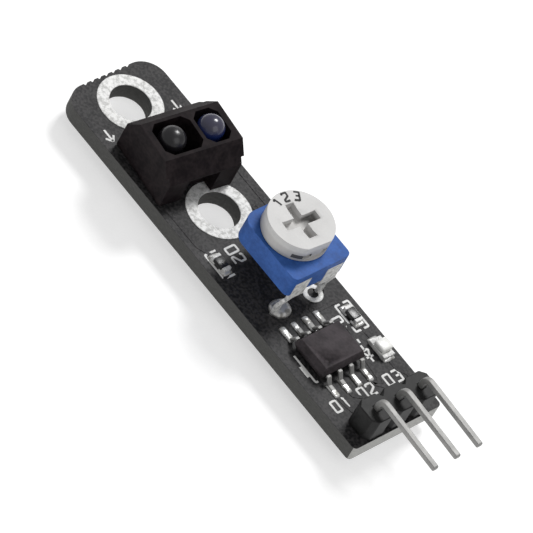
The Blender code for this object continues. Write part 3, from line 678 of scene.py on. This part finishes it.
chip = soften(shaped("comparator", merged("comparator_body"), chip_black), 0.05 * MM)
chip_low, chip_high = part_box("comparator_body")
above, floor = chip_high.z + 0.1 * MM, chip_high.z - DIMPLE_DEPTH
dimple = lathe(
    "dimple", [(0.0, above), (DIMPLE_RADIUS, above), (DIMPLE_RADIUS, floor), (0.0, floor)],
    (chip_high.x - DIMPLE_INSET, chip_low.y + DIMPLE_INSET), chip_black, steps=24)
keep(cut_away(chip, dimple), "module", "chip_black", "comparator_body")
for side in ("near", "far"):
    for number in range(1, 5):
        solid = f"comparator_lead_{side}_{number}"
        rounded(f"chip_leg_{side}_{number}", solid, plated, "tin", 0.04 * MM, 2)

# %% Resistors and lamp
for number in (1, 2):
    name = f"resistor_{number}"
    rounded(f"{name}_glaze", f"{name}_body", resistor_glaze, "resistor_black", 0.05 * MM)
    for side in ("near", "far"):
        rounded(f"{name}_end_{side}", f"{name}_cap_{side}", tin, "tin", 0.06 * MM)
rounded("lamp_base", "indicator_base", lamp_white, "lamp_white", 0.04 * MM)
rounded("lamp_dome", "indicator_lens", lamp_dome, "lamp_clear", 0.20 * MM, 5)
for side in ("near", "far"):
    rounded(f"lamp_end_{side}", f"indicator_terminal_{side}", tin, "tin", 0.05 * MM)

# %% [markdown]
# ## Header
# Three square pins are bent over the board's end and held in a waisted block.
# The wire is drawn square with round corners, so every edge of a pin gets a
# bevel that is wide for its size, and its cut tip gets the same.

# %% Header block and pins
rounded("header_shell", "header_block", header_black, "header_black", 0.10 * MM)
for name in ("left", "middle", "right"):
    rounded(f"pin_{name}", f"header_pin_{name}", plated, "tin", 0.075 * MM)

# %% [markdown]
# ## Things that repeat
# Rings, solder pads, joints and printed lines are each one rule used many
# times, which is what Geometry Nodes is for.  A Growth is a geometry tree
# with named sizes; grow runs it on a host mesh of points or edges, keeps the
# plain mesh and throws the modifier away.

# %% Growth
class Growth(Graph):
    """A geometry tree with a host, named sizes and a material to put on."""

    def __init__(self, name, **sizes):
        tree = bpy.data.node_groups.new(name, "GeometryNodeTree")
        tree.interface.new_socket("Host", in_out="INPUT", socket_type="NodeSocketGeometry")
        for size, value in sizes.items():
            socket = tree.interface.new_socket(size, in_out="INPUT", socket_type="NodeSocketFloat")
            socket.default_value = value
        tree.interface.new_socket("Finish", in_out="INPUT", socket_type="NodeSocketMaterial")
        tree.interface.new_socket("Grown", in_out="OUTPUT", socket_type="NodeSocketGeometry")
        super().__init__(tree)
        self.given = tree.nodes.new("NodeGroupInput")
        self.host = self.size("Host")

    def size(self, name):
        return Wire(self, self.given.outputs[name])

    def lumpy(self, geometry, lump, depth):
        """Push a surface in and out along its normals, in lumps of a given size."""
        noise = self.add("ShaderNodeTexNoise", inputs={
            "Vector": self.add("GeometryNodeInputPosition"), "Scale": 1.0 / lump, "Detail": 1.0})
        push = self.add("ShaderNodeVectorMath", {"operation": "SCALE"}, {
            "Vector": self.add("GeometryNodeInputNormal"), "Scale": (noise - 0.5) * depth * 2.0})
        return self.add("GeometryNodeSetPosition", inputs={"Geometry": geometry, "Offset": push})

    def finish(self, geometry, lump):
        """Make instances real, roughen them by the named size Lumps, and put the finish on."""
        real = self.add("GeometryNodeRealizeInstances", inputs=[geometry])
        rough = self.lumpy(real, lump, self.size("Lumps"))
        painted = self.add("GeometryNodeSetMaterial", inputs={
            "Geometry": rough, "Material": self.size("Finish")})
        end = self.tree.nodes.new("NodeGroupOutput")
        self.feed(end.inputs["Grown"], painted)
        return self


print("growths ready")

# %% Growing on a host
def host_of(name, points, edges=()):
    """A bare mesh of points and edges for a tree to grow on."""
    mesh = bpy.data.meshes.new(name)
    mesh.from_pydata([tuple(p) for p in points], edges, [])
    obj = bpy.data.objects.new(name, mesh)
    bpy.context.scene.collection.objects.link(obj)
    return obj


def grow(growth, host, finish, **sizes):
    """Run a growth on its host and keep the plain mesh."""
    modifier = host.modifiers.new(growth.tree.name, "NODES")
    modifier.node_group = growth.tree
    chosen = {**sizes, "Finish": finish.material}
    for socket in growth.tree.interface.items_tree:
        if socket.in_out == "INPUT" and socket.name in chosen:
            modifier[socket.identifier] = chosen[socket.name]
    plain_mesh(host)
    # A tree that makes its own faces leaves an empty first slot beside the finish.
    host.data.materials.clear()
    host.data.materials.append(finish.material)
    for polygon in host.data.polygons:
        polygon.use_smooth = True
        polygon.material_index = 0
    return host


print("growths can be run")

# %% [markdown]
# ### Ribbons and loops
# A ribbon follows the host's edges with a low rounded section, and its path's
# corners are filleted.  It makes the copper tracks and every printed line.  A
# loop is a ribbon round a circle, where fillets would only leave a trace of
# each corner, so it goes without them.

# %% Ribbon and loop
CORNER_STEPS = 4
SECTION_ROUNDING = 0.48  # of the height, so that the sides are almost half round


def filleted(growth, curve, radius):
    return growth.add("GeometryNodeFilletCurve", {"mode": "POLY"}, {
        "Curve": curve, "Count": CORNER_STEPS, "Radius": radius, "Limit Radius": True})


def ribbon_growth(name, cuts, **corner):
    """A ribbon tree whose section's sides are cut; a given Corner fillets its path."""
    tree = Growth(name, Width=0.16 * MM, Height=0.012 * MM, Lumps=0.0, **corner)
    path = tree.add("GeometryNodeMeshToCurve", inputs=[tree.host])
    if corner:
        path = filleted(tree, path, tree.size("Corner"))
    section = tree.add("GeometryNodeCurvePrimitiveQuadrilateral", inputs={
        "Width": tree.size("Width"), "Height": tree.size("Height")})
    section = filleted(tree, section, tree.size("Height") * SECTION_ROUNDING)
    section = tree.add("GeometryNodeSubdivideCurve", inputs=[section, cuts])
    return tree.finish(tree.add("GeometryNodeCurveToMesh", inputs={
        "Curve": path, "Profile Curve": section, "Fill Caps": True}), 0.5 * MM)


ribbon = ribbon_growth("ribbon", 0, Corner=0.1 * MM)
loop = ribbon_growth("loop", 3)
print("trees:", ribbon.tree.name, "and", loop.tree.name)

# %% Paths
def lines(name, paths, z):
    """A host of open or closed paths, each a list of (x, y), at one height."""
    points, edges = [], []
    for path in paths:
        closed = path[0] == path[-1]
        first, path = len(points), path[:-1] if closed else path
        points += [(x, y, z) for x, y in path]
        edges += [(first + i, first + i + 1) for i in range(len(path) - 1)]
        edges += [(first + len(path) - 1, first)] if closed else []
    return host_of(name, points, edges)


def circle(x, y, radius, steps=120):
    turns = [2 * math.pi * i / steps for i in range(steps)]
    path = [(x + radius * math.cos(a), y + radius * math.sin(a)) for a in turns]
    return path + path[:1]


print("a circle has", len(circle(0.0, 0.0, MM)) - 1, "points")

# %% [markdown]
# ### Rings round the screw holes
# Each hole has a tinned ring on both faces, where the screw's head and the
# standoff press.  A flat washer would look stamped, but a wide loop has the
# slightly raised, lumpy skin that hot-air tinning leaves.

# %% Rings
HOLE_RADIUS = 1.85 * MM
RING_HEIGHT, RING_LIFT = 0.10 * MM, 0.025 * MM

for side, level in (("top", BOARD_TOP + RING_LIFT), ("bottom", BOARD_BOTTOM - RING_LIFT)):
    for hole in ("far", "near"):
        low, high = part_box(f"{hole}_hole_ring_{side}")
        middle, outer = (low + high) / 2, (high.x - low.x) / 2
        width = outer - HOLE_RADIUS
        host = lines(f"{hole}_ring_{side}", [circle(middle.x, middle.y, outer - width / 2)], level)
        ring = grow(loop, host, tin, Width=width, Height=RING_HEIGHT, Lumps=0.012 * MM)
        keep(ring, "module", "tin", f"{hole}_hole_ring_{side}")

# %% [markdown]
# ### Mounds of solder
# A mound is a drop that has set on a pad.  It starts as a square grid, which
# is drawn in towards a disc by its roundness, and a flat copy of the grid
# closes it from below.  Each mound gets its own size from a seeded random
# scale, because no two joints set alike.

# %% Mound
SUNK = 0.02 * MM
GRID_ALONG, GRID_ACROSS = 31, 25

mound = Growth(
    "mound", Length=1.6 * MM, Width=0.6 * MM, Height=0.2 * MM, Roundness=0.3, Lumps=0.02 * MM)
grid = mound.add("GeometryNodeMeshGrid", inputs={
    "Size X": 2.0, "Size Y": 2.0, "Vertices X": GRID_ALONG, "Vertices Y": GRID_ACROSS})
place = mound.add("GeometryNodeInputPosition")
u, v = (mound.add("ShaderNodeSeparateXYZ", inputs=[place], out=i) for i in range(2))


def drawn_in(one, other):
    """One grid coordinate, pulled in where the other is large."""
    return one * (1 - mound.size("Roundness") * (1 - (1 - other * other * 0.5) ** 0.5))


def moved_grid(height, way):
    """The grid in the drop's outline at a height, its squares cut into triangles one way."""
    position = mound.add("ShaderNodeCombineXYZ", inputs=[
        drawn_in(u, v) * mound.size("Length") * 0.5,
        drawn_in(v, u) * mound.size("Width") * 0.5,
        height,
    ])
    moved = mound.add("GeometryNodeSetPosition", inputs={"Geometry": grid, "Position": position})
    return mound.add("GeometryNodeTriangulate", {"quad_method": way}, {"Mesh": moved})


print("the grid has", GRID_ALONG * GRID_ACROSS, "points")

# %% [markdown]
# The skin rises from 0 at the rim to the mound's height in the middle.  Skin
# and underside cut their squares in opposite ways, so that no corner triangle
# of one lies on a corner triangle of the other.

# %% Closing the mound
rim = u.absolute().larger(v.absolute())
skin = moved_grid((1 - rim ** 4.0) ** 0.5 * mound.size("Height") - SUNK, "FIXED")
underside = mound.add("GeometryNodeFlipFaces", inputs=[moved_grid(-SUNK, "FIXED_ALTERNATE")])
both_sides = mound.add("GeometryNodeJoinGeometry", inputs=[skin])
mound.feed(both_sides.socket.node.inputs[0], underside)
drop = mound.add("GeometryNodeMergeByDistance", inputs={
    "Geometry": both_sides, "Distance": 0.001 * MM})
spread = mound.add("FunctionNodeRandomValue", {"data_type": "FLOAT_VECTOR"}, {
    0: (0.92, 0.90, 0.80), 1: (1.06, 1.08, 1.12), "Seed": 5})
mound.finish(mound.add("GeometryNodeInstanceOnPoints", inputs={
    "Points": mound.host, "Instance": drop, "Scale": spread}), 0.35 * MM)
print("tree:", mound.tree.name, "with", len(mound.tree.nodes), "nodes")

# %% [markdown]
# ### Joints on the board's top
# One host holds the pads of each kind of piece, and one mound grows on each
# point.  The trimmer's left leg stands in a full drop.  Its right leg missed
# most of its solder, so only the tinned pad shows round it.

# %% Joints on the top
LEG_X = 3.05 * MM  # where the trimmer's front legs meet the board
CHIP_PAD_REACH = 3.05 * MM  # from the chip's middle to its pads


def middle_of(solid):
    low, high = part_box(solid)
    return (low + high) / 2


def on_board(*places):
    return [(x, y, BOARD_TOP) for x, y in places]


chip_middle = middle_of("comparator_body")
leads = [middle_of(f"comparator_lead_{side}_{n}") for side in ("near", "far") for n in range(1, 5)]
caps = [middle_of(f"resistor_{n}_cap_{side}") for n in (1, 2) for side in ("near", "far")]
lamp_ends = [middle_of(f"indicator_terminal_{side}") for side in ("near", "far")]
lamp_middle = middle_of("indicator_base")
left_leg, right_leg = middle_of("trimmer_terminal_left"), middle_of("trimmer_terminal_right")

chip_pads = on_board(*(
    (chip_middle.x + math.copysign(CHIP_PAD_REACH, p.x - chip_middle.x), p.y) for p in leads))
for name, pads, sizes in (
    ("chip_joints", chip_pads, {"Height": 0.24 * MM, "Roundness": 0.35}),
    ("resistor_joints", on_board(*((p.x, p.y) for p in caps)),
     {"Length": 0.95 * MM, "Width": 1.15 * MM, "Height": 0.26 * MM, "Roundness": 0.3}),
    ("lamp_joints", on_board(*((p.x, lamp_middle.y) for p in lamp_ends)),
     {"Length": 1.0 * MM, "Width": 1.3 * MM, "Height": 0.24 * MM, "Roundness": 0.4}),
    ("trimmer_joint_left", on_board((LEG_X, left_leg.y)),
     {"Length": 2.0 * MM, "Width": 2.0 * MM, "Height": 0.5 * MM, "Roundness": 1.0,
      "Lumps": 0.05 * MM}),
):
    keep(grow(mound, host_of(name, pads), solder, **sizes), "module", "solder")
pad_circle = circle(LEG_X, right_leg.y, 0.70 * MM, 48)
keep(grow(loop, lines("trimmer_pad_right", [pad_circle], BOARD_TOP + 0.01 * MM), tin,
          Width=0.45 * MM, Height=0.06 * MM, Lumps=0.01 * MM), "module", "tin")

# %% [markdown]
# ### Fillets under the board
# Under the board every lead ends in a concave fillet of solder.  Surface
# tension draws it up steeply against the lead and flat against the board, and
# a power of the height is close to that, so the lathe turns it.

# %% Fillets under the board
FILLET_STEPS, FILLET_POWER, FILLET_TIP = 14, 2.4, 0.35


def fillet_profile(low, high, foot):
    """From the board's underside down to the lead's tip, wide and flat to narrow and steep."""
    profile, tip = [(0.0, high)], foot * FILLET_TIP
    for i in range(FILLET_STEPS + 1):
        t = i / FILLET_STEPS
        profile.append((tip + (foot - tip) * (1 - t) ** FILLET_POWER, high + (low - high) * t))
    return profile + [(0.0, low)]


for solid in sorted(name for name in frame["nodes"] if "_solder" in name):
    low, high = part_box(solid)
    profile = fillet_profile(low.z, high.z, (high.x - low.x) / 2)
    keep(lathe(f"{solid}_fillet", profile, (low + high) / 2, solder, 40), "module", "solder", solid)

# %% [markdown]
# ## Tracks
# Copper tracks show through the mask as low ridges.  Each is a list of corners
# in millimetres that runs from pad to pad, with the bends that a circuit's
# drawing has.  They could be a bump in the mask's material, but a bump has no
# edge for the light to catch from the side.

# %% Copper tracks under the mask
LEAD_PITCH_MM = 1.27


def by_mm(*points):
    return [(x * MM, y * MM) for x, y in points]


row = [chip_middle.y / MM + LEAD_PITCH_MM * step for step in (-1.5, -0.5, 0.5, 1.5)]
tracks_top = [
    by_mm((11.4, row[0]), (12.6, row[0]), (14.2, -2.54), (15.0, -2.54)),
    by_mm((11.4, row[1]), (12.5, row[1]), (13.6, 0.0), (15.0, 0.0)),
    by_mm((11.4, row[3]), (12.4, row[3]), (13.9, 2.54), (15.0, 2.54)),
    by_mm((5.3, row[0]), (4.2, row[0]), (3.4, -4.2), (-1.4, -4.2), (-1.6, -3.65)),
    by_mm((5.3, row[1]), (4.4, row[1]), (3.05, -2.39)),
    by_mm((5.3, row[2]), (4.2, row[2]), (3.4, 1.2), (3.05, 2.69)),
    by_mm((5.3, row[3]), (4.6, row[3]), (4.6, 3.65), (5.5, 3.65)),
    by_mm((7.2, 3.65), (8.7, 3.75)),
    by_mm((11.3, 3.75), (12.2, 3.75), (12.9, 4.3), (15.2, 4.3)),
    by_mm((-3.7, -3.65), (-5.0, -4.25), (-9.6, -4.25), (-10.4, -3.2)),
    by_mm((-2.6, 4.3), (-9.8, 4.3), (-10.6, 3.4)),
    by_mm((-14.6, 3.9), (-17.0, 4.2)),
    by_mm((12.4, row[3]), (12.4, 1.6), (9.9, 1.9), (7.0, 2.6), (7.0, 3.2)),
]
tracks_bottom = [
    by_mm((15.2, -2.54), (12.0, -4.1), (3.0, -4.1), (1.0, -2.4)),
    by_mm((15.2, 0.0), (9.0, 0.0), (7.5, 1.5), (-1.9, 1.5), (-3.9, -0.5)),
    by_mm((15.2, 2.54), (12.5, 4.0), (-9.0, 4.0), (-10.4, 2.8)),
    by_mm((3.05, 2.69), (-0.8, 2.69), (-1.95, 0.15)),
    by_mm((-10.4, -2.8), (-8.0, -4.1), (1.8, -4.1), (3.05, -2.39)),
]
for name, tracks, level in (("top", tracks_top, BOARD_TOP), ("bottom", tracks_bottom, BOARD_BOTTOM)):
    keep(grow(ribbon, lines(f"tracks_{name}", tracks, level), mask,
              Width=0.34 * MM, Height=0.07 * MM, Corner=0.3 * MM), "module", "solder_mask")

# %% [markdown]
# A via takes a track through the board.  The mask lies over it, so it is a
# small loop in the mask's own finish.

# %% Vias
VIA_RADIUS = 0.24 * MM

vias = by_mm((-5.9, 3.2), (-3.9, 1.9), (4.3, 0.9), (12.4, 1.6), (1.1, -4.2), (-14.3, 3.9), (7.0, 2.6))
keep(grow(loop, lines("vias", [circle(x, y, VIA_RADIUS, 28) for x, y in vias], BOARD_TOP), mask,
          Width=0.22 * MM, Height=0.09 * MM), "module", "solder_mask")

# %% [markdown]
# ## Print
# The print is silk-screen white.  Its marks are generic: plain outlines, an
# arrow at each lens, a diode sign at the lamp, and numerals that count the
# pins and the resistors.  A font's outlines would be too sharp for ink pushed
# through a screen, so each sign is a few strokes, grown into ribbons.

# %% Signs
SIGN_WIDTH = 0.58  # of its height
STROKES = {  # on a grid one unit wide and two high
    "0": [[(0, 0), (1, 0), (1, 2), (0, 2), (0, 0)]],
    "1": [[(0.15, 1.6), (0.6, 2), (0.6, 0)]],
    "2": [[(0, 1.6), (0, 2), (1, 2), (1, 1.1), (0, 0.4), (0, 0), (1, 0)]],
    "3": [[(0, 2), (1, 2), (1, 0), (0, 0)], [(0.3, 1.05), (1, 1.05)]],
    "diode": [
        [(0, 1), (0.9, 1)], [(0.9, 0.2), (0.9, 1.8), (2.1, 1), (0.9, 0.2)],
        [(2.1, 0.2), (2.1, 1.8)], [(2.1, 1), (3, 1)],
    ],
    "arrow": [[(0, 1), (2, 1)], [(1.2, 1.8), (2, 1), (1.2, 0.2)]],
}


def write(marks, start, turn, height, pitch=0.0):
    """Paths for a row of marks that begins at start, in metres, and reads along turn."""
    reading = Matrix.Rotation(turn, 2)
    paths = []
    for number, sign in enumerate(marks):
        for stroke in STROKES.get(sign, []):
            local = [
                Vector((px * height * SIGN_WIDTH + number * pitch, py * height * 0.5))
                for px, py in stroke]
            paths.append([tuple(reading @ p + Vector(start)) for p in local])
    return paths


print("signs:", *STROKES)

# %% Printed marks
PRINT_LIFT = 0.004 * MM


def mm_write(marks, x, y, degrees, height, pitch=0.0):
    return write(marks, (x * MM, y * MM), math.radians(degrees), height * MM, pitch * MM)


thin = [
    *mm_write("01 02 03", 13.2, -3.95, 90, 1.05, 1.0),  # the pins
    *mm_write("02", -3.75, -2.20, 0, 1.1, 0.95),  # the resistors
    *mm_write("01", 5.85, 1.70, 0, 0.95, 0.90),
    *mm_write(["arrow"], -17.8, 3.05, 0, 1.1),  # the lenses
    *mm_write(["arrow"], -17.8, -4.55, 0, 1.1),
    *mm_write(["diode"], 8.95, 1.90, 0, 1.0),  # the lamp
    by_mm((4.95, 2.95), (7.75, 2.95), (7.75, 4.40), (4.95, 4.40), (4.95, 2.95)),
    by_mm((7.2, -3.68), (10.07, -3.68), (10.07, -3.42)),
    by_mm((-4.0, -3.0), (-4.0, -4.2), (-1.4, -4.2), (-1.4, -3.0)),
    by_mm((8.33, 2.54), (8.73, 2.54)),
]
thick = [by_mm((8.28, -3.82), (9.4, -3.82))]
for name, paths, sizes in (
    ("print_thin", thin, {"Width": 0.20 * MM}),
    ("print_thick", thick, {"Width": 0.45 * MM, "Height": 0.014 * MM}),
):
    host = lines(name, paths, BOARD_TOP + PRINT_LIFT)
    keep(grow(ribbon, host, print_white, **sizes), "module", None)

# %% [markdown]
# The dial is numbered 1 to 3 along its rim, in black.  The numerals ride on
# the dial's own body, so that they turn with it.

# %% Dial marks
MARKS_RADIUS_MM, MARKS_ASIDE_MM = 1.98, 0.25
MARKS_HEIGHT = 0.80 * MM

dial_marks = []
for sign, degrees in (("1", 199), ("2", 174), ("3", 149)):
    angle = math.radians(degrees)
    outward = Vector((math.cos(angle), math.sin(angle)))
    aside = Vector((-outward.y, outward.x))
    spot = Vector(dial_axis[:2]) + outward * MARKS_RADIUS_MM * MM + aside * MARKS_ASIDE_MM * MM
    dial_marks += write(sign, spot, angle - math.pi / 2, MARKS_HEIGHT)
keep(grow(ribbon, lines("dial_marks", dial_marks, dial_high.z), print_black,
          Width=0.19 * MM, Height=0.010 * MM, Corner=0.05 * MM), "dial", None)

# %% [markdown]
# ## Floor
# The module lies on a pale table, just under its lowest solder.  The table
# glows a little, so that it stays pale where the soft shadow falls, and its
# faint grain keeps it from looking painted.

# %% Table
TABLE_RADIUS, TABLE_GAP = 0.8, 0.05 * MM

table_white = Finish("table", Metallic=0.0)
fibre = table_white.grain(1.2 * MM, 3.0)
table_white.set(
    Base_Color=table_white.blend(fibre, (0.52, 0.52, 0.52), (0.58, 0.58, 0.58)),
    Roughness=0.6 + fibre * 0.2,
    Emission_Color=(1.0, 1.0, 1.0),
    Emission_Strength=0.55,
)
table_white.relief(fibre, 0.005 * MM)
work = bmesh.new()
bmesh.ops.create_circle(
    work, cap_ends=True, segments=96, radius=TABLE_RADIUS,
    matrix=Matrix.Translation((0.0, 0.0, cad_box[0][2] - TABLE_GAP)))
table = shaped("table", work, table_white)
table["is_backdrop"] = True
print("table at", round(table.bound_box[0][2] / MM, 2), "mm")

# %% [markdown]
# ## Size
# The solids' box and the finished module's box are printed side by side.  The
# two should agree, because every cell above only rounds, coats or prints.

# %% Print the two boxes
def as_lists(bounds):
    return [[float(v) for v in corner] for corner in bounds]


both = {"cad": as_lists(cad_box), "visual": as_lists(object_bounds())}
print({name: [round((h - l) / MM, 2) for l, h in zip(*box)] for name, box in both.items()}, "mm")
